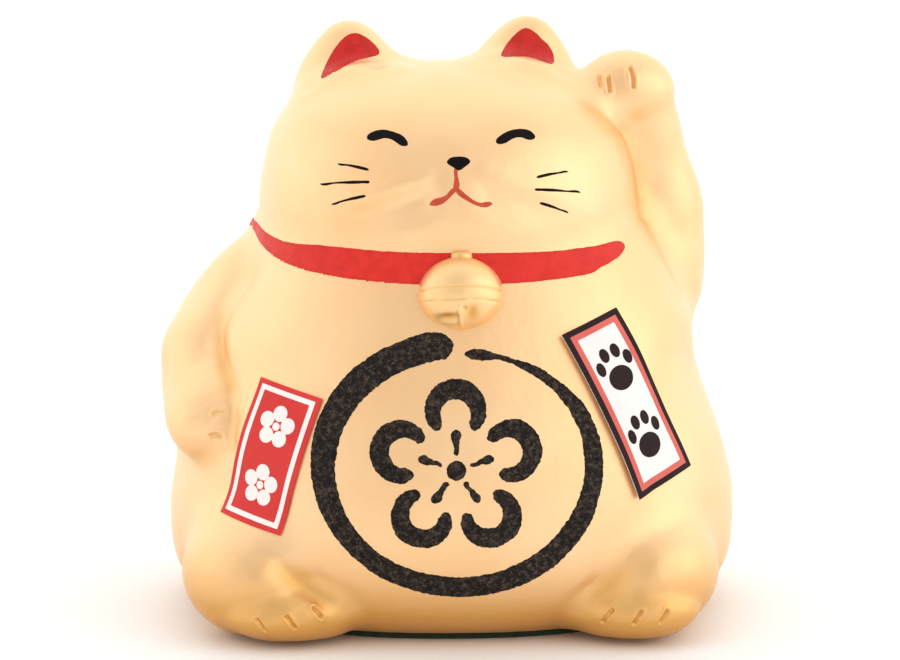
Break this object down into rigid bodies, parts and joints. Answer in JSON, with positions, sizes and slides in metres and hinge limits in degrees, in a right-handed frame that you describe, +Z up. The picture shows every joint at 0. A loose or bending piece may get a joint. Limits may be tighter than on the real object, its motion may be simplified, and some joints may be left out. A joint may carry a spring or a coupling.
{
  "type": "beckoning cat savings bank",
  "caption": "Seated beckoning cat figurine in gold lacquered earthenware, hollow as a savings bank, with red collar, bell, brushed ring mark, paper labels, felt base and a pull-out plug.",
  "frame": {"origin": "on the table under the middle of the figure, at the underside of the felt pad", "axes": "+Z up; the cat faces -Y; the raised paw is on the +X side"},
  "size_m": [0.1324, 0.1173, 0.1356],
  "materials": {
    "gold_lacquer": "satin gold lacquer over fired clay",
    "bell_gold": "satin gold lacquer, a little paler",
    "red_paint": "satin brush-applied red paint",
    "ear_red": "satin red paint",
    "black_paint": "satin black paint",
    "mouth_red": "satin red-brown paint",
    "brush_ink": "matte mottled ink",
    "red_paper": "matte coated paper",
    "white_print": "matte",
    "white_paper": "matte coated paper",
    "black_print": "matte ink on paper",
    "salmon_print": "matte ink on paper",
    "green_felt": "wool felt",
    "stopper_rubber": "matte soft plastic"
  },
  "bodies": {
    "figure": {"torso_shell": "gold_lacquer", "head_shell": "gold_lacquer", "right_ear": "gold_lacquer", "left_ear": "gold_lacquer", "raised_arm": "gold_lacquer", "lowered_arm": "gold_lacquer", "right_foot": "gold_lacquer", "left_foot": "gold_lacquer", "tail": "gold_lacquer", "bell": "bell_gold", "bell_lug": "bell_gold", "collar_band": "red_paint", "ear_linings": "ear_red", "eyes": "black_paint", "nose": "black_paint", "whiskers": "black_paint", "mouth": "mouth_red", "belly_ring": "brush_ink", "belly_blossom": "brush_ink", "red_label": "red_paper", "red_label_print": "white_print", "white_label": "white_paper", "white_label_border": "black_print", "white_label_print": "black_print", "white_label_trim": "salmon_print", "felt_pad": "green_felt"},
    "plug": {"stopper": "stopper_rubber"}
  },
  "joints": [
    {"name": "plug_pull", "type": "slide", "parent": "figure", "child": "plug", "axis": [0, 0, -1], "range_m": [0, 0.025]}
  ]
}
